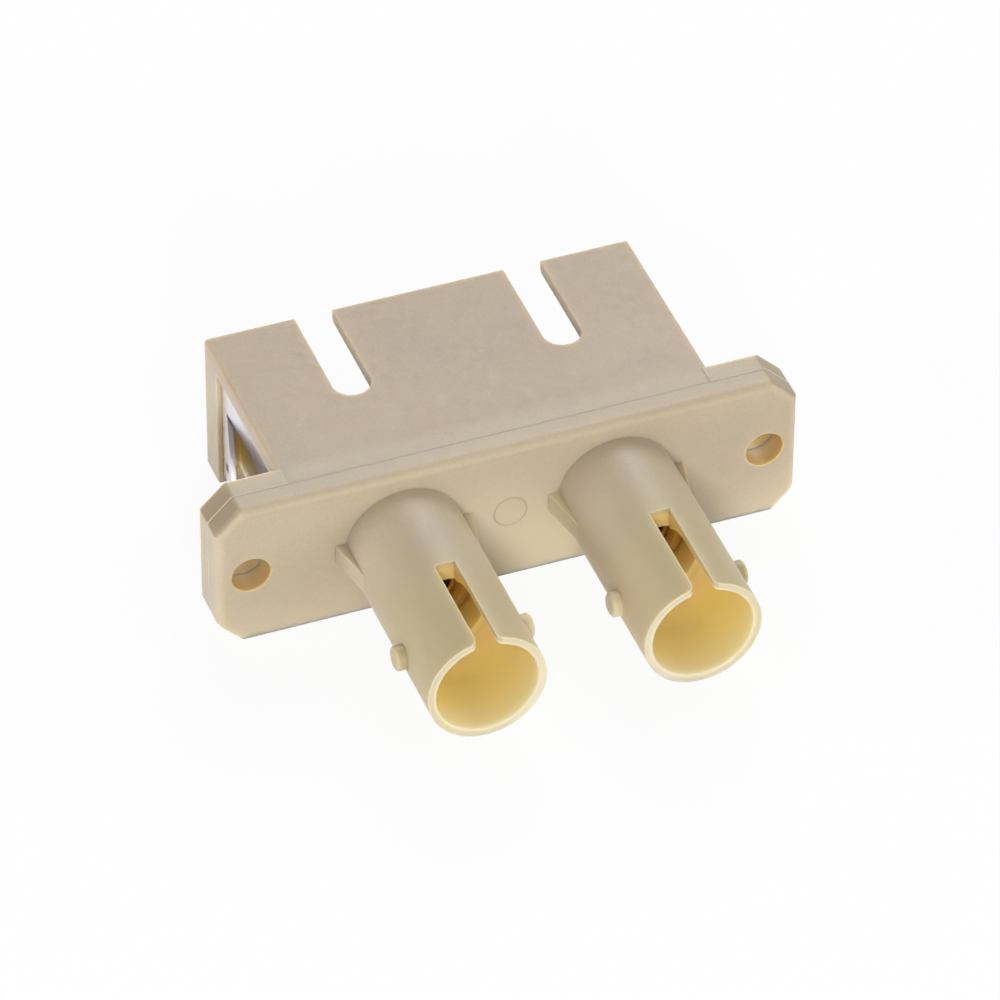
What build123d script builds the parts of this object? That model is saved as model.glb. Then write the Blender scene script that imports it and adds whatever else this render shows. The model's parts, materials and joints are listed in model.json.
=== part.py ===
from build123d import *
import os
from math import cos, radians

# Duplex fibre adapter: two square push-pull ports behind a panel flange, two bayonet barrels in front.
# +X runs along the flange, +Z is up (the key slots are on top) and the barrels point to -Y.
# The origin is midway between the two screw holes, on the flange face that meets the panel.

# Square-port box
PORT_WIDTH = 9.1
PORT_HEIGHT = 7.6
PORT_CORNER = 0.3
DIVIDER_WALL = 3.6
SIDE_WALL = 2.0
TOP_WALL = 0.8
BODY_LENGTH = 12.2
BODY_EDGE_ROUND = 0.2
BODY_REAR_CHAMFER = 0.05
KEY_SLOT_WIDTH = 2.3
KEY_SLOT_LENGTH = 6.4
PORT_LEAD_IN = 0.2

# Flange, moulded half with the box and half with the barrels
FLANGE_STEP = 0.05
STEP_INSET = 0.3
FLANGE_CORNER = 1.45
REAR_FLANGE = 1.3
FRONT_FLANGE = 1.5
FRONT_EDGE_ROUND = 0.5
HOLE_FROM_BODY = 2.5
HOLE_TO_EDGE = 2.0
HOLE_DIAMETER = 2.3
SEAM_GROOVE = 0.05
MARK_DIAMETER = 1.95
MARK_HEIGHT = 0.04

# Bayonet barrels
BARREL_DIAMETER = 6.95
BARREL_LENGTH = 13.25
MOUTH_WALL = 0.475
MOUTH_CHAMFER = 0.06
MOUTH_LENGTH = 4.15
FUNNEL_LENGTH = 2.35
PLUG_BORE_DIAMETER = 4.4
BARREL_SLOT_WIDTH = 1.2
BARREL_SLOT_LENGTH = 6.8
BARREL_SLOT_FLARE = 0.45
LUG_DIAMETER = 1.45
LUG_REACH = 0.56
LUG_FROM_TIP = 3.95
LUG_CHAMFER = 0.12
RIB_THICKNESS = 1.2
RIB_REACH = 0.6
RIB_LENGTH = 2.9

# Split alignment sleeve and the cavity that holds it, centred on the seam between the housings
SLEEVE_BORE = 2.5
SLEEVE_WALL = 0.35
SLEEVE_LENGTH = 11.4
SLEEVE_SLIT = 0.5
SLEEVE_CHAMFER = 0.1
SLEEVE_PLAY = 0.075
SLEEVE_END_PLAY = 0.1
LIP_CLEARANCE = 0.2
LIP_THICKNESS = 0.5
LIP_LEAD_IN = 0.3
HOLDER_WALL = 0.575

# Latch insert, clamped between the housings by its plate
SHOULDER = 0.3
PLATE_THICKNESS = 1.2
PLATE_PLAY = 0.05
HOOK_FLEX_GAP = 0.6
HOOK_THICKNESS = 0.9
HOOK_HEIGHT = 3.2
HOOK_LENGTH = 8.3
HOOK_NOSE = 0.65
HOOK_NOSE_LAND = 0.4
HOOK_LEAD_IN = 1.0
HOOK_BACK = 0.5
HOOK_ROOT_ROUND = 0.3

# Locating pegs in the welded seam
PEG_DIAMETER = 1.2
PEG_LENGTH = 0.8
PEG_PLAY = 0.05
PEG_TO_EDGE = 1.5

# Folded spring clip and the recess that holds it
CLIP_THICKNESS = 0.3
CLIP_BEND = 0.35
CLIP_PLAY = 0.15
SIDE_RECESS = 0.6
BOTTOM_RECESS = 0.4
RECESS_REAR_WALL = 1.95
RECESS_TOP_WALL = 1.05
TAB_ANGLE = 16.5
TAB_BEND = 0.5
TAB_ROOT_STRIP = 0.7
TAB_FREE_END = 1.7
TAB_TOP_DEPTH = 3.5
TAB_HEIGHT = 3.7
TAB_CORNER = 0.6
WINDOW_TOP_GAP = 0.2
WINDOW_BOTTOM_GAP = 0.6
WINDOW_END_GAP = 0.5
RELIEF_REACH = 0.3
TAB_POCKET_DEPTH = 0.5

# Widths and places worked out from the sizes above
PORT_PITCH = PORT_WIDTH + DIVIDER_WALL
BODY_WIDTH = PORT_PITCH + PORT_WIDTH + 2 * SIDE_WALL
BODY_HEIGHT = PORT_HEIGHT + 2 * TOP_WALL
HOLE_PITCH = BODY_WIDTH + 2 * HOLE_FROM_BODY
FLANGE_WIDTH = HOLE_PITCH + 2 * HOLE_TO_EDGE
FLANGE_HEIGHT = BODY_HEIGHT + 2 * FLANGE_STEP
LOWER_CORNER = FLANGE_CORNER - FLANGE_HEIGHT / 2
SEAM = -REAR_FLANGE
FRONT_FACE = SEAM - FRONT_FLANGE
BARREL_RADIUS = BARREL_DIAMETER / 2
BARREL_TIP = FRONT_FACE - BARREL_LENGTH
MOUTH_RADIUS = BARREL_RADIUS - MOUTH_WALL
FUNNEL_START = BARREL_TIP + MOUTH_LENGTH
FUNNEL_END = FUNNEL_START + FUNNEL_LENGTH
SLEEVE_RADIUS = SLEEVE_BORE / 2 + SLEEVE_WALL
SLEEVE_REAR = SEAM + SLEEVE_LENGTH / 2
CAVITY_RADIUS = SLEEVE_RADIUS + SLEEVE_PLAY
CAVITY_LENGTH = SLEEVE_LENGTH / 2 + SLEEVE_END_PLAY
LIP_RADIUS = SLEEVE_BORE / 2 + LIP_CLEARANCE
PLUG_SEAT = SEAM - CAVITY_LENGTH - LIP_THICKNESS
HOLDER_REAR = SEAM + CAVITY_LENGTH + LIP_THICKNESS
HOLDER_RADIUS = CAVITY_RADIUS + HOLDER_WALL
POCKET_WIDTH = PORT_WIDTH + 2 * SHOULDER
POCKET_HEIGHT = PORT_HEIGHT + 2 * SHOULDER
PLATE_REAR = SEAM + PLATE_THICKNESS
HOOK_OUTSIDE = PORT_WIDTH / 2 - HOOK_FLEX_GAP
HOOK_INSIDE = HOOK_OUTSIDE - HOOK_THICKNESS
HOOK_TIP = PLATE_REAR + HOOK_LENGTH
PORT_CENTRES = [(-PORT_PITCH / 2, 0), (PORT_PITCH / 2, 0)]
HOLE_CENTRES = [(-HOLE_PITCH / 2, 0), (HOLE_PITCH / 2, 0)]
SIDES = [("left", -PORT_PITCH / 2), ("right", PORT_PITCH / 2)]

# Two pegs on a diagonal, between the outer pockets and the screw holes
POCKET_EDGE = (PORT_PITCH + POCKET_WIDTH) / 2
HOLE_EDGE = (HOLE_PITCH - HOLE_DIAMETER) / 2
PEG_SIDE = (POCKET_EDGE + HOLE_EDGE) / 2
PEG_HEIGHT = FLANGE_HEIGHT / 2 - PEG_TO_EDGE - PEG_DIAMETER / 2
PEG_CENTRES = [(-PEG_SIDE, -PEG_HEIGHT), (PEG_SIDE, PEG_HEIGHT)]

# The clip wraps the sides and underside of a core of the box
CORE_WIDTH = BODY_WIDTH - 2 * SIDE_RECESS
CORE_BOTTOM = -BODY_HEIGHT / 2 + BOTTOM_RECESS
RECESS_TOP = BODY_HEIGHT / 2 - RECESS_TOP_WALL
RECESS_REAR = BODY_LENGTH - RECESS_REAR_WALL
CLIP_OUTSIDE = CORE_WIDTH / 2 + CLIP_THICKNESS
TAB_ROOT = RECESS_REAR - CLIP_PLAY - TAB_ROOT_STRIP
TAB_TOP = BODY_HEIGHT / 2 - TAB_TOP_DEPTH
TAB_BOTTOM = TAB_TOP - TAB_HEIGHT
WINDOW_TOP = TAB_TOP + WINDOW_TOP_GAP
WINDOW_BOTTOM = TAB_BOTTOM - WINDOW_BOTTOM_GAP
WINDOW_FRONT = TAB_FREE_END - WINDOW_END_GAP
WINDOW_LENGTH = TAB_ROOT - WINDOW_FRONT
WINDOW_HEIGHT = WINDOW_TOP - WINDOW_BOTTOM
WINDOW_CENTRE = ((TAB_ROOT + WINDOW_FRONT) / 2, (WINDOW_TOP + WINDOW_BOTTOM) / 2)

os.makedirs("parts", exist_ok=True)


def across(y, x=0.0):
    """A plane square to the fibre axis. Positive extrusions run to the barrels, negative to the ports."""
    return Plane(origin=(x, y, 0), x_dir=(1, 0, 0), z_dir=(0, -1, 0))


def flange_outline():
    """Draw the flange with its four cut corners."""
    Rectangle(FLANGE_WIDTH, FLANGE_HEIGHT)
    chamfer(vertices(), FLANGE_CORNER)


def clip_core(corner):
    """Return the section that the clip wraps round, with its lower corners rounded."""
    with BuildSketch(mode=Mode.PRIVATE) as core:
        with Locations((0, RECESS_TOP)):
            Rectangle(CORE_WIDTH, RECESS_TOP - CORE_BOTTOM, align=(Align.CENTER, Align.MAX))
        fillet(core.vertices().group_by(Axis.Y)[0], corner)
    return core.sketch


def window_outline():
    """Draw the window round a tab, with a relief notch at the lower end of the bend."""
    with Locations(WINDOW_CENTRE):
        Rectangle(WINDOW_LENGTH, WINDOW_HEIGHT)
    with Locations((TAB_ROOT, WINDOW_BOTTOM)):
        Rectangle(RELIEF_REACH, WINDOW_BOTTOM_GAP, align=(Align.MIN, Align.MIN))


# Front housing: half of the flange, the two barrels and the front half of each sleeve holder
with BuildPart() as front_housing:
    with BuildSketch(across(SEAM)):
        flange_outline()
    extrude(amount=FRONT_FLANGE)
    front_edges = front_housing.faces().sort_by(Axis.Y)[0].edges()
    fillet(front_edges.filter_by(lambda edge: edge.center().Z > LOWER_CORNER), FRONT_EDGE_ROUND)
    chamfer(front_housing.faces().sort_by(Axis.Y)[-1].edges(), SEAM_GROOVE)

    # Two barrels
    with BuildSketch(across(FRONT_FACE)):
        with Locations(*PORT_CENTRES):
            Circle(BARREL_RADIUS)
    extrude(amount=BARREL_LENGTH)

    # Bayonet lugs on both sides of each barrel
    for x, _ in PORT_CENTRES:
        with BuildSketch(Plane(origin=(x, BARREL_TIP + LUG_FROM_TIP, 0), x_dir=(0, 1, 0), z_dir=(1, 0, 0))):
            Circle(LUG_DIAMETER / 2)
        extrude(amount=BARREL_RADIUS + LUG_REACH, both=True)
        lug_edges = front_housing.edges(Select.LAST).filter_by(GeomType.CIRCLE).sort_by(Axis.X)
        chamfer([lug_edges[0], lug_edges[-1]], LUG_CHAMFER)

    # Ribs that stiffen each barrel at the flange
    for x, _ in PORT_CENTRES:
        with BuildSketch(Plane.XY.offset(-RIB_THICKNESS / 2)):
            for side in (-1, 1):
                with BuildLine():
                    Polyline(
                        (x + side * (BARREL_RADIUS - RIB_REACH), FRONT_FACE),
                        (x + side * (BARREL_RADIUS + RIB_REACH), FRONT_FACE),
                        (x + side * BARREL_RADIUS, FRONT_FACE - RIB_LENGTH),
                        (x + side * (BARREL_RADIUS - RIB_REACH), FRONT_FACE - RIB_LENGTH),
                        close=True,
                    )
                make_face()
        extrude(amount=RIB_THICKNESS)

    # Stepped bore: sleeve cavity, retaining lip, plug bore, funnel and mouth
    for x, _ in PORT_CENTRES:
        with BuildSketch(Plane(origin=(x, 0, 0))):
            with BuildLine():
                Polyline(
                    (0, BARREL_TIP),
                    (0, SEAM),
                    (CAVITY_RADIUS, SEAM),
                    (CAVITY_RADIUS, SEAM - CAVITY_LENGTH),
                    (LIP_RADIUS, SEAM - CAVITY_LENGTH),
                    (LIP_RADIUS, PLUG_SEAT + LIP_LEAD_IN),
                    (LIP_RADIUS + LIP_LEAD_IN, PLUG_SEAT),
                    (PLUG_BORE_DIAMETER / 2, PLUG_SEAT),
                    (PLUG_BORE_DIAMETER / 2, FUNNEL_END),
                )
                TangentArc((MOUTH_RADIUS, FUNNEL_START), (PLUG_BORE_DIAMETER / 2, FUNNEL_END), tangent=(0, 1))
                Polyline(
                    (MOUTH_RADIUS, FUNNEL_START),
                    (MOUTH_RADIUS, BARREL_TIP + MOUTH_CHAMFER),
                    (MOUTH_RADIUS + MOUTH_CHAMFER, BARREL_TIP),
                    (0, BARREL_TIP),
                )
            make_face()
        revolve(axis=Axis((x, 0, 0), (0, 1, 0)), mode=Mode.SUBTRACT)

    # Key slot in the top of each barrel, flared where it opens at the rim
    for x, _ in PORT_CENTRES:
        with BuildSketch(Plane(origin=(x, BARREL_TIP, 0))) as barrel_slot:
            Rectangle(BARREL_SLOT_WIDTH, BARREL_SLOT_LENGTH, align=(Align.CENTER, Align.MIN))
            Rectangle(BARREL_DIAMETER, BARREL_SLOT_WIDTH, align=(Align.CENTER, Align.MAX))
            fillet(barrel_slot.vertices().group_by(Axis.Y)[1].sort_by(Axis.X)[1:3], BARREL_SLOT_FLARE)
        extrude(amount=BARREL_DIAMETER, mode=Mode.SUBTRACT)

    # Screw holes, pegs on the seam and the ejector mark between the barrels
    with BuildSketch(across(SEAM)):
        with Locations(*HOLE_CENTRES):
            Circle(HOLE_DIAMETER / 2)
    extrude(amount=FRONT_FLANGE, mode=Mode.SUBTRACT)
    with BuildSketch(across(SEAM)):
        with Locations(*PEG_CENTRES):
            Circle(PEG_DIAMETER / 2)
    extrude(amount=-PEG_LENGTH)
    with BuildSketch(across(FRONT_FACE)):
        Circle(MARK_DIAMETER / 2)
    extrude(amount=MARK_HEIGHT)
front_housing.part.label = "front_housing"
export_step(front_housing.part, "parts/front_housing.step")


# Rear housing: the other half of the flange and the box with its two ports
with BuildPart() as rear_housing:
    with BuildSketch(across(0)):
        flange_outline()
        with Locations((0, FLANGE_HEIGHT / 2), (0, -FLANGE_HEIGHT / 2)):
            Rectangle(BODY_WIDTH - 2 * STEP_INSET, 2 * FLANGE_STEP, mode=Mode.SUBTRACT)
    extrude(amount=REAR_FLANGE)
    with BuildSketch(across(0)):
        Rectangle(BODY_WIDTH, BODY_HEIGHT)
    extrude(amount=-BODY_LENGTH)
    long_edges = rear_housing.edges().filter_by(Axis.Y).filter_by(lambda edge: edge.center().Y > 0)
    fillet(long_edges, BODY_EDGE_ROUND)
    chamfer(rear_housing.faces().sort_by(Axis.Y)[-1].edges(), BODY_REAR_CHAMFER)

    # Ports, with a wider pocket at the seam for each latch plate
    with BuildSketch(across(BODY_LENGTH)):
        with Locations(*PORT_CENTRES):
            RectangleRounded(PORT_WIDTH, PORT_HEIGHT, PORT_CORNER)
    extrude(amount=BODY_LENGTH - SEAM, mode=Mode.SUBTRACT)
    chamfer(rear_housing.edges(Select.LAST).group_by(Axis.Y)[-1], PORT_LEAD_IN)
    with BuildSketch(across(SEAM)):
        with Locations(*PORT_CENTRES):
            RectangleRounded(POCKET_WIDTH, POCKET_HEIGHT, PORT_CORNER)
    extrude(amount=-PLATE_THICKNESS, mode=Mode.SUBTRACT)

    # Key slots in the top wall, open at the rear
    for x, _ in PORT_CENTRES:
        with BuildSketch(Plane(origin=(x, BODY_LENGTH - KEY_SLOT_LENGTH, 0))):
            Circle(KEY_SLOT_WIDTH / 2)
            Rectangle(KEY_SLOT_WIDTH, KEY_SLOT_LENGTH, align=(Align.CENTER, Align.MIN))
        extrude(amount=BODY_HEIGHT, mode=Mode.SUBTRACT)

    # Recess round the sides and underside for the clip, and a pocket behind each sprung tab
    with BuildSketch(across(0)):
        with Locations((0, RECESS_TOP)):
            Rectangle(2 * BODY_WIDTH, 2 * BODY_HEIGHT, align=(Align.CENTER, Align.MAX))
        add(clip_core(CLIP_BEND + CLIP_PLAY), mode=Mode.SUBTRACT)
    extrude(amount=-RECESS_REAR, mode=Mode.SUBTRACT)
    for side in (-1, 1):
        floor = side * CORE_WIDTH / 2
        with BuildSketch(Plane(origin=(floor, 0, 0), x_dir=(0, 1, 0), z_dir=(1, 0, 0))):
            window_outline()
        extrude(amount=-side * TAB_POCKET_DEPTH, mode=Mode.SUBTRACT)

    # Screw holes and blind holes for the pegs
    with BuildSketch(across(0)):
        with Locations(*HOLE_CENTRES):
            Circle(HOLE_DIAMETER / 2)
    extrude(amount=REAR_FLANGE, mode=Mode.SUBTRACT)
    with BuildSketch(across(SEAM)):
        with Locations(*PEG_CENTRES):
            Circle(PEG_DIAMETER / 2 + PEG_PLAY)
    extrude(amount=-(PEG_LENGTH + PEG_PLAY), mode=Mode.SUBTRACT)
rear_housing.part.label = "rear_housing"
export_step(rear_housing.part, "parts/rear_housing.step")


# Latch inserts: a plate with two hooks and the rear half of the sleeve holder
for side_name, x in SIDES:
    with BuildPart() as latch_insert:
        with BuildSketch(across(SEAM, x)):
            RectangleRounded(POCKET_WIDTH - 2 * PLATE_PLAY, POCKET_HEIGHT - 2 * PLATE_PLAY, PORT_CORNER)
        extrude(amount=-PLATE_THICKNESS)

        # Two hooks, each with a sloped nose that faces the fibre axis
        with BuildSketch(Plane(origin=(x, 0, -HOOK_HEIGHT / 2))):
            for side in (-1, 1):
                with BuildLine():
                    Polyline(
                        (side * HOOK_OUTSIDE, PLATE_REAR),
                        (side * HOOK_OUTSIDE, HOOK_TIP),
                        (side * HOOK_INSIDE, HOOK_TIP),
                        (side * (HOOK_INSIDE - HOOK_NOSE), HOOK_TIP - HOOK_LEAD_IN),
                        (side * (HOOK_INSIDE - HOOK_NOSE), HOOK_TIP - HOOK_LEAD_IN - HOOK_NOSE_LAND),
                        (side * HOOK_INSIDE, HOOK_TIP - HOOK_LEAD_IN - HOOK_NOSE_LAND - HOOK_BACK),
                        (side * HOOK_INSIDE, PLATE_REAR),
                        close=True,
                    )
                make_face()
        extrude(amount=HOOK_HEIGHT)
        roots = latch_insert.edges().filter_by(Axis.Z).group_by(Axis.Y)[1]
        inner_roots = roots.sort_by(lambda edge: abs(edge.center().X - x))[:2]
        fillet(inner_roots, HOOK_ROOT_ROUND)

        # Sleeve holder with its retaining lip at the rear
        with BuildSketch(across(PLATE_REAR, x)):
            Circle(HOLDER_RADIUS)
        extrude(amount=-(HOLDER_REAR - PLATE_REAR))
        with BuildSketch(Plane(origin=(x, 0, 0))):
            with BuildLine():
                Polyline(
                    (0, SEAM),
                    (CAVITY_RADIUS, SEAM),
                    (CAVITY_RADIUS, SEAM + CAVITY_LENGTH),
                    (LIP_RADIUS, SEAM + CAVITY_LENGTH),
                    (LIP_RADIUS, HOLDER_REAR - LIP_LEAD_IN),
                    (LIP_RADIUS + LIP_LEAD_IN, HOLDER_REAR),
                    (0, HOLDER_REAR),
                    close=True,
                )
            make_face()
        revolve(axis=Axis((x, 0, 0), (0, 1, 0)), mode=Mode.SUBTRACT)
    latch_insert.part.label = side_name + "_latch_insert"
    export_step(latch_insert.part, "parts/" + side_name + "_latch_insert.step")


# Split sleeves, slit along the top
for side_name, x in SIDES:
    with BuildPart() as split_sleeve:
        with BuildSketch(across(SLEEVE_REAR, x)):
            Circle(SLEEVE_RADIUS)
            Circle(SLEEVE_BORE / 2, mode=Mode.SUBTRACT)
            with Locations((0, SLEEVE_RADIUS)):
                Rectangle(SLEEVE_SLIT, SLEEVE_BORE, mode=Mode.SUBTRACT)
        extrude(amount=SLEEVE_LENGTH)
        chamfer(split_sleeve.edges().filter_by(GeomType.CIRCLE).sort_by(SortBy.RADIUS)[:2], SLEEVE_CHAMFER)
    split_sleeve.part.label = side_name + "_split_sleeve"
    export_step(split_sleeve.part, "parts/" + side_name + "_split_sleeve.step")


# Panel clip: one folded strip under the box, a leg up each side and a tab sprung out of each leg
with BuildPart() as panel_clip:
    with BuildSketch(across(CLIP_PLAY)):
        add(clip_core(CLIP_BEND))
        offset(amount=CLIP_THICKNESS, mode=Mode.REPLACE)
        add(clip_core(CLIP_BEND), mode=Mode.SUBTRACT)
        with Locations((0, RECESS_TOP - CLIP_PLAY)):
            Rectangle(2 * BODY_WIDTH, BODY_HEIGHT, align=(Align.CENTER, Align.MIN), mode=Mode.SUBTRACT)
    extrude(amount=-(RECESS_REAR - 2 * CLIP_PLAY))
    with BuildSketch(Plane.YZ):
        window_outline()
    extrude(amount=BODY_WIDTH, both=True, mode=Mode.SUBTRACT)

    # Each tab bends out of the leg at the rear of its window and leans out towards the panel
    with BuildSketch(Plane.XY.offset(TAB_BOTTOM)):
        with BuildLine():
            strip = Line((CLIP_OUTSIDE, TAB_ROOT + CLIP_THICKNESS), (CLIP_OUTSIDE, TAB_ROOT))
            bend = JernArc(strip @ 1, strip % 1, TAB_BEND, TAB_ANGLE)
            lean_length = ((bend @ 1).Y - TAB_FREE_END) / cos(radians(TAB_ANGLE))
            Line(bend @ 1, bend @ 1 + bend % 1 * lean_length)
            offset(amount=CLIP_THICKNESS, side=Side.RIGHT)
        make_face()
        mirror(about=Plane.YZ)
    extrude(amount=TAB_HEIGHT)
    for tip in (panel_clip.faces().sort_by(Axis.X)[0], panel_clip.faces().sort_by(Axis.X)[-1]):
        fillet(tip.edges().sort_by(SortBy.LENGTH)[:2], TAB_CORNER)
panel_clip.part.label = "panel_clip"
export_step(panel_clip.part, "parts/panel_clip.step")
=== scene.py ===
"""Looks of the duplex fibre adapter: moulded beige housings, bronze sleeves and a bright steel panel clip."""
import json
import math

import bpy
from mathutils import Matrix, Vector


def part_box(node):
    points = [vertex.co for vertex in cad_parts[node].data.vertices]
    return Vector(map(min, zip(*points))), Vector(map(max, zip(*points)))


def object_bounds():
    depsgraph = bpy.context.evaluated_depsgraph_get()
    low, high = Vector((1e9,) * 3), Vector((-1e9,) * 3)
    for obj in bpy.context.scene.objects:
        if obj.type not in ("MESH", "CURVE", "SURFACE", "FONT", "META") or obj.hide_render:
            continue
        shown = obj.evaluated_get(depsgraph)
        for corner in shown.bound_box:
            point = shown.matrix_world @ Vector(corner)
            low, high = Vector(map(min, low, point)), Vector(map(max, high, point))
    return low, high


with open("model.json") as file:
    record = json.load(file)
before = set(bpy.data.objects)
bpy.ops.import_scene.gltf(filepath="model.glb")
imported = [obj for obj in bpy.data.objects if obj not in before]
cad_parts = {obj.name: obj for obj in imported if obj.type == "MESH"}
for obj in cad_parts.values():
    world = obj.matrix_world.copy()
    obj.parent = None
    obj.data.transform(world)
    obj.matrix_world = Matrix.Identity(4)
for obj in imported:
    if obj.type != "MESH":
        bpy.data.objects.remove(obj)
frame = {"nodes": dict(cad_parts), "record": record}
cad_box = [list(corner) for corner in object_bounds()]
mounts = {mount["name"]: mount for mount in frame["record"]["mounts"]}

MM = 0.001

# Camera: it turns about a point on the flange, and its picture is square
VIEW_AZIMUTH = math.radians(-21.06)
VIEW_ELEVATION = math.radians(40.97)
VIEW_ROLL = math.radians(0.45)
VIEW_TARGET = Vector((0.14, -0.81, -0.81)) * MM
VIEW_DISTANCE = 413.3 * MM
LENS = 263.8
SENSOR = 36.0
NEAR_LIMIT = 10 * MM

# Studio: the sky darkens along an axis, and the camera sees the floor mostly as white
FLOOR_SIZE = 3.0
FLOOR_COLOUR = (0.95, 0.95, 0.95, 1)
WHITE_SHARE = 0.92
SKY_AXIS = (-0.5, 0.0, 0.87)
SKY_REACH = 0.8
HORIZON_LEVEL = 0.88
ZENITH_LEVEL = 0.15

# Softboxes aimed at the part: name, place in metres, size in metres, power in watts, colour
LAMPS = (
    ("back_softbox", (0.28, 0.54, 0.52), 0.5, 2.7, (1, 1, 1)),
    ("front_softbox", (-0.2, -0.81, 0.33), 0.2, 4.8, (1, 1, 1)),
    ("left_fill", (-0.78, 0.08, 0.16), 0.3, 3.2, (0.97, 0.97, 1.06)),
    ("right_fill", (0.62, -0.52, 0.26), 0.4, 0.8, (1, 1, 1)),
)

# Places read from the frame
MOUTH_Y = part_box("front_housing")[0].y
SEAM_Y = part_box("rear_housing")[0].y
BARREL_X = abs(mounts["ferrule_bore_left"]["pos_m"][0])
HOLE_X = mounts["screw_holes"]["dims"]["spacing_x_mm"] / 2 * MM

# Zones with a colour of their own, all of it painted light and shade: a pair is the limit outside the zone,
# then the limit inside it
# Barrels and ports, measured from their own axes; the core is the narrow bore, which counts as deeper and so
# gets more painted shade
BARREL_WALL = (3.3 * MM, 2.95 * MM)
BARREL_CORE = (2.5 * MM, 2.25 * MM)
BARREL_END_Y = -1.9 * MM
CORE_SHIFT = 0.3
PORT_SIDE = (4.62 * MM, 4.58 * MM)
PORT_TOP = (3.87 * MM, 3.83 * MM)

# Barrel tips and rims along Y, and the screw holes and the ejector mark by radius, where light and shade are
# painted
TIP_ZONE = (-4.0 * MM, -13.0 * MM)
RIM_ZONE = (MOUTH_Y + 0.09 * MM, MOUTH_Y + 0.01 * MM)
RIM_SHARE = 0.55
HOLE_WALL = (1.25 * MM, 1.15 * MM)
MARK_RADIUS = 0.975 * MM
MARK_LINE = (0.09 * MM, 0.03 * MM)
MARK_SHARE = 0.28

# Seam between the housings: the step from one to the other, and the line of the groove, which is painted
# paler as painted light over the groove's shade
SEAM_ZONE = (SEAM_Y + 0.05 * MM, SEAM_Y - 0.05 * MM)
SEAM_LINE = (0.07 * MM, 0.03 * MM)

# Thin walls low on the flange and between the barrels, which light shines through; a paler colour is painted
# on them as painted light from below and through the walls
LOW_ZONE = (-0.5 * MM, -8.5 * MM)
INNER_ZONE = (6.5 * MM, 3.5 * MM)
INNER_HEIGHT = (4.5 * MM, -2.0 * MM)
GLOW_SHARE = 0.88

# Recess under the clip (painted light), top of the box and the flange's cut upper corners (painted shade), by
# side and height added
CLIP_SIDE = (12.8 * MM, 12.65 * MM)
CLIP_REAR = (10.3 * MM, 10.15 * MM)
CLIP_TOP = (3.6 * MM, 3.45 * MM)
BOX_TOP = (3.6 * MM, 4.3 * MM)
BOX_FRONT = (-0.6 * MM, 0.6 * MM)
UPPER_CORNER = (20.35 * MM, 20.55 * MM)
CORNER_SHARE = 0.8

# A noise is the size of its blotches, its detail and, where it has one, its stretch along each axis
# Plastic: flow, clouds, specks and shine, each with the noise levels between which it fades in
FLOW = (7.0 * MM, 1.0, (1.6, 1.0, 1.0))
FLOW_LEVELS = (0.35, 0.72)
CLOUDS = (4.5 * MM, 1.0)
CLOUD_LEVELS = (0.5, 0.8)
CLOUD_SHARE = 0.4
SPECKS = (0.16 * MM, 3.0)
SPECK_LEVELS = (0.36, 0.62)
SPECK_GREY = 0.93
SPECK_SHARE = 0.8
SHINE = (0.5 * MM, 3.0)
SHINE_LEVELS = (0.3, 0.7)
SHINE_ROUGHNESS = (0.42, 0.52)

# Relief of the plastic, each a noise with its height and strength, and the radius of its sharp edges
RIPPLE = ((1.7 * MM, 1.0), 0.02 * MM, 0.15)
GRAIN = ((0.09 * MM, 2.0), 0.004 * MM, 0.3)
PLASTIC_EDGE = 0.1 * MM

# Light inside the plastic: how far each colour goes, in solid and in thin walls
SCATTER_COLOUR = (1.0, 0.88, 0.6)
SCATTER_REACH = (0.9 * MM, 1.8 * MM)
PLASTIC_IOR = 1.52

# Rolled metal: fine lines along Y over wide blotches, and the radius of its sharp edges
LINES = (0.05 * MM, 3.0, (1, 30, 1))
LINE_LEVELS = (0.3, 0.7)
LINE_SHARE = 0.25
LINE_HEIGHT = 0.003 * MM
LINE_STRENGTH = 0.3
LINE_ROUGHNESS = (0.8, 1.25)
BLOTCHES = (2.5 * MM, 2.0)
METAL_EDGE = 0.06 * MM

# Rays that each rounded edge takes
EDGE_SAMPLES = 4

# Sockets of a Mix node that blends colours: factor, first colour and second colour, and its result
MIX_INPUTS = (0, 6, 7)
MIX_OUTPUT = 2


def linear(red, green, blue):
    """A colour given as it looks on screen, from 0 to 255, in the linear values that shaders take."""
    parts = []
    for part in (red, green, blue):
        part /= 255
        parts.append(part / 12.92 if part <= 0.04045 else ((part + 0.055) / 1.055) ** 2.4)
    return tuple(parts)


# Colours from the barrel's mouth, at 0, to the end of its bore: a painted golden glow near the mouth,
# standing in for light through the thin walls, turning to painted shade deeper in
BORE_GLOW_AND_SHADE = (
    (0.0, linear(242, 225, 192)),
    (0.06, linear(241, 216, 172)),
    (0.14, linear(238, 210, 152)),
    (0.3, linear(234, 206, 138)),
    (0.5, linear(212, 187, 120)),
    (0.76, linear(223, 202, 126)),
    (0.87, linear(198, 166, 80)),
    (0.9, linear(146, 100, 26)),
)

# Colours of the other zones, all painted light and shade; that of the box top multiplies what lies under it
# Painted light: the barrel rims are paler, standing in for light through the thin wall at the edge
RIM_GLOW = linear(206, 197, 172)
# Painted light: a deeper yellow towards the barrel tips, standing in for light through their thin walls
TIP_GLOW = linear(181, 168, 132)
# Painted light on the low flange and between the barrels
GLOW = linear(221, 207, 178)
# Painted light: a pale colour in the recess under the clip that lifts its shade
RECESS_LIGHT = linear(240, 224, 188)
# Painted shade: the flange's cut upper corners, which face up and to the side, are darker
CORNER_SHADE = linear(152, 135, 108)
# Painted shade: a darker ring around the edge of the ejector mark
MARK_SHADE = linear(158, 138, 104)
# Painted light: the seam groove is paler, lifting its shade
SEAM_LIGHT = linear(222, 198, 168)
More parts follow.
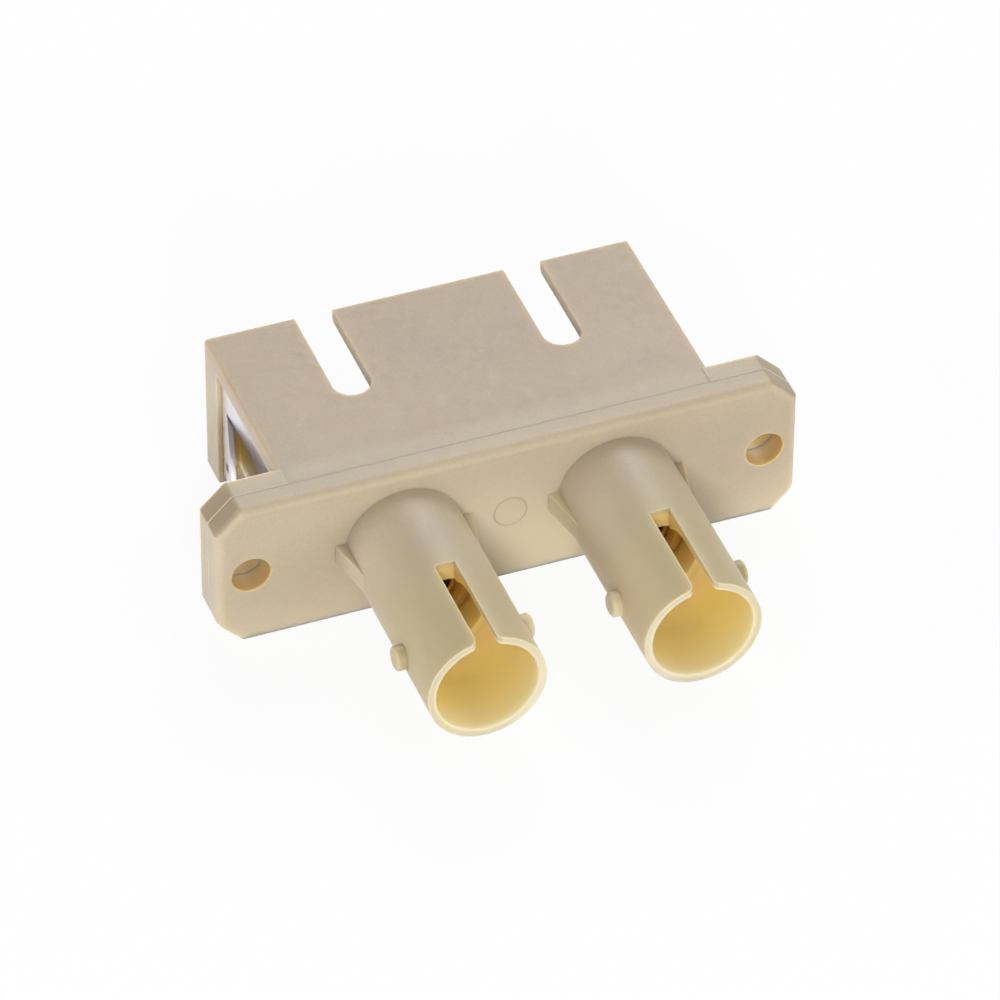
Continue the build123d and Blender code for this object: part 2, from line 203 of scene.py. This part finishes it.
# Painted shade: the box top is darker and pinker than the flange top, standing in for a weaker sheen there
BOX_TOP_SHADE = (0.92, 0.875, 0.875)
# Painted light and shade in the screw holes and ports: warm golden colours standing in for light bounced
# inside them and passed through the walls
HOLLOW_GLOW = linear(210, 184, 130)
PALE_HOLLOW_GLOW = linear(216, 204, 172)

# Colours of each material: pale and deep flow and clouds, or bright and dull metal
SHELL = (linear(191, 177, 152), linear(185, 170, 145), linear(178, 164, 150))
NATURAL = (linear(214, 204, 184), linear(208, 196, 172), linear(200, 190, 176))
SPRING_STEEL = (linear(238, 235, 240), linear(220, 216, 224))
PHOSPHOR_BRONZE = (linear(208, 164, 92), linear(174, 126, 58))
STEEL_ROUGHNESS = 0.32
BRONZE_ROUGHNESS = 0.5


class Shader:
    """A small helper that adds and links nodes in one material."""

    def __init__(self, name):
        self.material = bpy.data.materials.new(name)
        self.material.use_nodes = True
        self.nodes = self.material.node_tree.nodes
        self.links = self.material.node_tree.links
        self.surface = self.nodes["Principled BSDF"]
        self.coordinates = self.add("ShaderNodeTexCoord").outputs["Object"]

    def add(self, kind):
        return self.nodes.new(kind)

    def link(self, output, node, socket):
        self.links.new(output, node.inputs[socket])

    def noise(self, size, detail, stretch=(1, 1, 1)):
        """Noise whose blotches measure about size, in metres, stretched along each axis."""
        mapping = self.add("ShaderNodeMapping")
        mapping.inputs["Scale"].default_value = [1 / (size * part) for part in stretch]
        self.link(self.coordinates, mapping, "Vector")
        noise = self.add("ShaderNodeTexNoise")
        noise.inputs["Scale"].default_value = 1.0
        noise.inputs["Detail"].default_value = detail
        self.link(mapping.outputs["Vector"], noise, "Vector")
        return noise.outputs["Fac"]

    def ramp(self, value, stops):
        """Turn a value into a colour through stops of (place, colour)."""
        ramp = self.add("ShaderNodeValToRGB")
        while len(ramp.color_ramp.elements) < len(stops):
            ramp.color_ramp.elements.new(0.5)
        for element, (place, colour) in zip(ramp.color_ramp.elements, stops):
            element.position = place
            element.color = (*colour, 1)
        self.link(value, ramp, "Fac")
        return ramp.outputs["Color"]

    def greys(self, value, places, levels):
        """Turn a value into a grey that goes from the first level to the second between two places."""
        return self.ramp(value, [(place, (level,) * 3) for place, level in zip(places, levels)])

    def mix(self, factor, first, second, blend="MIX"):
        """Blend two colours; each value is a link, a number or a plain colour."""
        mix = self.add("ShaderNodeMix")
        mix.data_type = "RGBA"
        mix.blend_type = blend
        for socket, value in zip(MIX_INPUTS, (factor, first, second)):
            if isinstance(value, (int, float)):
                mix.inputs[socket].default_value = value
            elif isinstance(value, tuple):
                mix.inputs[socket].default_value = (*value, 1)
            else:
                self.link(value, mix, socket)
        return mix.outputs[MIX_OUTPUT]

    def bump(self, height, distance, strength, under):
        """Normals with a relief of the given height in metres, over the normals under it."""
        bump = self.add("ShaderNodeBump")
        bump.inputs["Distance"].default_value = distance
        bump.inputs["Strength"].default_value = strength
        self.link(height, bump, "Height")
        self.link(under, bump, "Normal")
        return bump.outputs["Normal"]

    def math(self, operation, first, second=0.0):
        """One math node on two values, each a link or a plain number."""
        node = self.add("ShaderNodeMath")
        node.operation = operation
        for socket, value in enumerate((first, second)):
            if isinstance(value, (int, float)):
                node.inputs[socket].default_value = value
            else:
                self.link(value, node, socket)
        return node.outputs[0]

    def product(self, *values):
        """All the values multiplied."""
        total = values[0]
        for value in values[1:]:
            total = self.math("MULTIPLY", total, value)
        return total

    def distance(self, first, second):
        """Distance from an axis, given the two offsets from it."""
        square = self.math("ADD", self.product(first, first), self.product(second, second))
        return self.math("SQRT", square)

    def gap(self, value, place):
        """How far a value is from a place, on either side."""
        return self.math("ABSOLUTE", self.math("SUBTRACT", value, place))

    def fade(self, value, low, high):
        """Zero below low and one above high, smooth between them; low may lie above high."""
        node = self.add("ShaderNodeMapRange")
        node.interpolation_type = "SMOOTHSTEP"
        node.inputs["From Min"].default_value = low
        node.inputs["From Max"].default_value = high
        self.link(value, node, "Value")
        return node.outputs["Result"]

    def soft_edges(self, radius):
        """Normals that round every sharp edge by a small radius."""
        bevel = self.add("ShaderNodeBevel")
        bevel.samples = EDGE_SAMPLES
        bevel.inputs["Radius"].default_value = radius
        return bevel.outputs["Normal"]

    def seen(self):
        """One where the camera, a reflection or a refraction looks, and zero for other light."""
        path = self.add("ShaderNodeLightPath")
        total = path.outputs["Is Camera Ray"]
        for name in ("Is Glossy Ray", "Is Transmission Ray"):
            total = self.math("ADD", total, path.outputs[name])
            total.node.use_clamp = True
        return total


def zones(shader):
    """Masks between zero and one for the zones of the housings where light and shade are painted, by name,
    and the depth inside the barrels.
    """
    split = shader.add("ShaderNodeSeparateXYZ")
    shader.link(shader.coordinates, split, "Vector")
    x, y, z = split.outputs
    side = shader.math("ABSOLUTE", x)
    from_barrel = shader.math("SUBTRACT", side, BARREL_X)
    from_hole = shader.math("SUBTRACT", side, HOLE_X)
    barrel_radius = shader.distance(from_barrel, z)
    hole_radius = shader.distance(from_hole, z)
    mark_radius = shader.distance(x, z)

    front = shader.fade(y, *SEAM_ZONE)
    rear = shader.math("SUBTRACT", 1.0, front)
    port_side = shader.fade(shader.math("ABSOLUTE", from_barrel), *PORT_SIDE)
    port_top = shader.fade(shader.math("ABSOLUTE", z), *PORT_TOP)
    port = shader.product(port_side, port_top, rear)
    between = shader.product(shader.fade(side, *INNER_ZONE), shader.fade(z, *INNER_HEIGHT))
    lit = shader.math("MAXIMUM", shader.fade(z, *LOW_ZONE), between)
    clip = shader.product(shader.fade(side, *CLIP_SIDE), rear)
    clip = shader.product(clip, shader.fade(y, *CLIP_REAR), shader.fade(z, *CLIP_TOP))
    corner = shader.fade(shader.math("ADD", side, z), *UPPER_CORNER)
    mark = shader.fade(shader.gap(mark_radius, MARK_RADIUS), *MARK_LINE)

    # Depth inside the barrel, which picks the painted glow and shade of the bore
    along = shader.math("DIVIDE", shader.math("SUBTRACT", y, MOUTH_Y), BARREL_END_Y - MOUTH_Y)
    core = shader.product(shader.fade(barrel_radius, *BARREL_CORE), CORE_SHIFT)
    return {
        "bore": shader.product(shader.fade(barrel_radius, *BARREL_WALL), front),
        "depth": shader.math("ADD", along, core),
        "hollow": shader.math("MAXIMUM", shader.fade(hole_radius, *HOLE_WALL), port),
        "recess": clip,
        "tip": shader.fade(y, *TIP_ZONE),
        "rim": shader.product(shader.fade(y, *RIM_ZONE), RIM_SHARE),
        "glow": shader.product(lit, front, GLOW_SHARE),
        "box": shader.product(shader.fade(z, *BOX_TOP), shader.fade(y, *BOX_FRONT)),
        "corner": shader.product(corner, CORNER_SHARE),
        "mark": shader.product(mark, front, MARK_SHARE),
        "seam": shader.fade(shader.gap(y, SEAM_Y), *SEAM_LINE),
    }


def plastic(name, flow_colours, tip, hollow):
    """Moulded plastic: faint flow and clouds, fine specks and an eroded grain, with painted light and shade
    by zone and a painted golden glow in its hollows.
    """
    shader = Shader(name)
    pale, deep, cloud = flow_colours
    colour = shader.ramp(shader.noise(*FLOW), list(zip(FLOW_LEVELS, (pale, deep))))
    clouds = shader.greys(shader.noise(*CLOUDS), CLOUD_LEVELS, (0.0, CLOUD_SHARE))
    colour = shader.mix(clouds, colour, cloud)
    specks = shader.greys(shader.noise(*SPECKS), SPECK_LEVELS, (SPECK_GREY, 1.0))
    colour = shader.mix(SPECK_SHARE, colour, specks, "MULTIPLY")

    masks = zones(shader)
    # Painted shade on the top of the box
    colour = shader.mix(masks["box"], colour, BOX_TOP_SHADE, "MULTIPLY")
    # Painted light and shade, laid zone by zone over the plastic's own colour
    layers = {
        "corner": CORNER_SHADE,
        "tip": tip,
        "glow": GLOW,
        "recess": RECESS_LIGHT,
        "hollow": hollow,
        "bore": shader.ramp(masks["depth"], BORE_GLOW_AND_SHADE),
        "rim": RIM_GLOW,
        "mark": MARK_SHADE,
        "seam": SEAM_LIGHT,
    }
    for zone, layer in layers.items():
        colour = shader.mix(masks[zone], colour, layer)
    shader.link(colour, shader.surface, "Base Color")

    normal = shader.soft_edges(PLASTIC_EDGE)
    for noise, height, strength in (RIPPLE, GRAIN):
        normal = shader.bump(shader.noise(*noise), height, strength, normal)
    shader.link(normal, shader.surface, "Normal")
    rough = shader.greys(shader.noise(*SHINE), SHINE_LEVELS, SHINE_ROUGHNESS)
    shader.link(rough, shader.surface, "Roughness")

    surface = shader.surface.inputs
    surface["Subsurface Weight"].default_value = 1.0
    surface["Subsurface Radius"].default_value = SCATTER_COLOUR
    surface["IOR"].default_value = PLASTIC_IOR
    thin = shader.math("MAXIMUM", masks["bore"], masks["recess"])
    thin = shader.math("MAXIMUM", thin, masks["glow"])
    shader.link(shader.greys(thin, (0.0, 1.0), SCATTER_REACH), shader.surface, "Subsurface Scale")
    return shader.material


def rolled_metal(name, metal_colours, roughness):
    """Rolled strip: fine lines along one axis over a bright metal."""
    shader = Shader(name)
    bright, dull = metal_colours
    lines = shader.noise(*LINES)
    colour = shader.mix(shader.noise(*BLOTCHES), bright, dull)
    colour = shader.mix(LINE_SHARE, colour, shader.ramp(lines, list(zip(LINE_LEVELS, (dull, bright)))))
    shader.link(colour, shader.surface, "Base Color")
    rough = shader.greys(lines, LINE_LEVELS, [roughness * share for share in LINE_ROUGHNESS])
    shader.link(rough, shader.surface, "Roughness")
    normal = shader.bump(lines, LINE_HEIGHT, LINE_STRENGTH, shader.soft_edges(METAL_EDGE))
    shader.link(normal, shader.surface, "Normal")
    shader.surface.inputs["Metallic"].default_value = 1.0
    return shader.material


def studio_floor():
    """A pale floor that the camera and reflections see as white, apart from the object's shadow."""
    shader = Shader("studio_floor")
    shader.nodes.remove(shader.surface)
    diffuse = shader.add("ShaderNodeBsdfDiffuse")
    diffuse.inputs["Color"].default_value = FLOOR_COLOUR
    white = shader.add("ShaderNodeEmission")
    lifted = shader.add("ShaderNodeMixShader")
    lifted.inputs["Fac"].default_value = WHITE_SHARE
    shader.link(diffuse.outputs[0], lifted, 1)
    shader.link(white.outputs[0], lifted, 2)
    final = shader.add("ShaderNodeMixShader")
    shader.link(shader.seen(), final, 0)
    shader.link(diffuse.outputs[0], final, 1)
    shader.link(lifted.outputs[0], final, 2)
    shader.link(final.outputs[0], shader.nodes["Material Output"], "Surface")
    return shader.material


def make_camera():
    data = bpy.data.cameras.new("camera")
    data.lens = LENS
    data.sensor_width = SENSOR
    data.clip_start = NEAR_LIMIT
    camera = bpy.data.objects.new("camera", data)
    bpy.context.scene.collection.objects.link(camera)
    camera.matrix_world = (
        Matrix.Translation(VIEW_TARGET)
        @ Matrix.Rotation(VIEW_AZIMUTH, 4, "Z")
        @ Matrix.Rotation(math.pi / 2 - VIEW_ELEVATION, 4, "X")
        @ Matrix.Rotation(VIEW_ROLL, 4, "Z")
        @ Matrix.Translation((0, 0, VIEW_DISTANCE))
    )
    bpy.context.scene.camera = camera


def make_lamps():
    for name, place, size, power, colour in LAMPS:
        data = bpy.data.lights.new(name, "AREA")
        data.shape = "DISK"
        data.size = size
        data.energy = power
        data.color = colour
        lamp = bpy.data.objects.new(name, data)
        bpy.context.scene.collection.objects.link(lamp)
        lamp.location = place
        lamp.rotation_euler = (-Vector(place)).to_track_quat("-Z", "Y").to_euler()


def make_world():
    """A white sky whose strength falls from the horizon level to the zenith level along the sky's axis."""
    world = bpy.data.worlds.new("studio")
    bpy.context.scene.world = world
    world.use_nodes = True
    nodes = world.node_tree.nodes
    links = world.node_tree.links
    nodes["Background"].inputs["Color"].default_value = (1, 1, 1, 1)
    height = nodes.new("ShaderNodeVectorMath")
    height.operation = "DOT_PRODUCT"
    height.inputs[1].default_value = SKY_AXIS
    links.new(nodes.new("ShaderNodeTexCoord").outputs["Generated"], height.inputs[0])
    level = nodes.new("ShaderNodeMapRange")
    level.inputs["From Max"].default_value = SKY_REACH
    level.inputs["To Min"].default_value = HORIZON_LEVEL
    level.inputs["To Max"].default_value = ZENITH_LEVEL
    links.new(height.outputs["Value"], level.inputs["Value"])
    links.new(level.outputs["Result"], nodes["Background"].inputs["Strength"])


def make_floor():
    low = cad_box[0][2]
    half = FLOOR_SIZE / 2
    mesh = bpy.data.meshes.new("floor")
    corners = [(-half, -half, low), (half, -half, low), (half, half, low), (-half, half, low)]
    mesh.from_pydata(corners, [], [(0, 1, 2, 3)])
    mesh.materials.append(studio_floor())
    floor = bpy.data.objects.new("floor", mesh)
    bpy.context.scene.collection.objects.link(floor)


def finish_pieces():
    """Give every piece of the frame its material."""
    housing = plastic("housing_plastic", SHELL, TIP_GLOW, HOLLOW_GLOW)
    insert = plastic("insert_plastic", NATURAL, HOLLOW_GLOW, PALE_HOLLOW_GLOW)
    steel = rolled_metal("spring_steel", SPRING_STEEL, STEEL_ROUGHNESS)
    bronze = rolled_metal("sleeve_bronze", PHOSPHOR_BRONZE, BRONZE_ROUGHNESS)
    finishes = {
        "front_housing": housing,
        "rear_housing": housing,
        "left_latch_insert": insert,
        "right_latch_insert": insert,
        "left_split_sleeve": bronze,
        "right_split_sleeve": bronze,
        "panel_clip": steel,
    }
    for node, finish in finishes.items():
        for slot in frame["nodes"][node].material_slots:
            slot.material = finish


bpy.context.scene.view_settings.view_transform = "Standard"
finish_pieces()
make_camera()
make_lamps()
make_world()
make_floor()
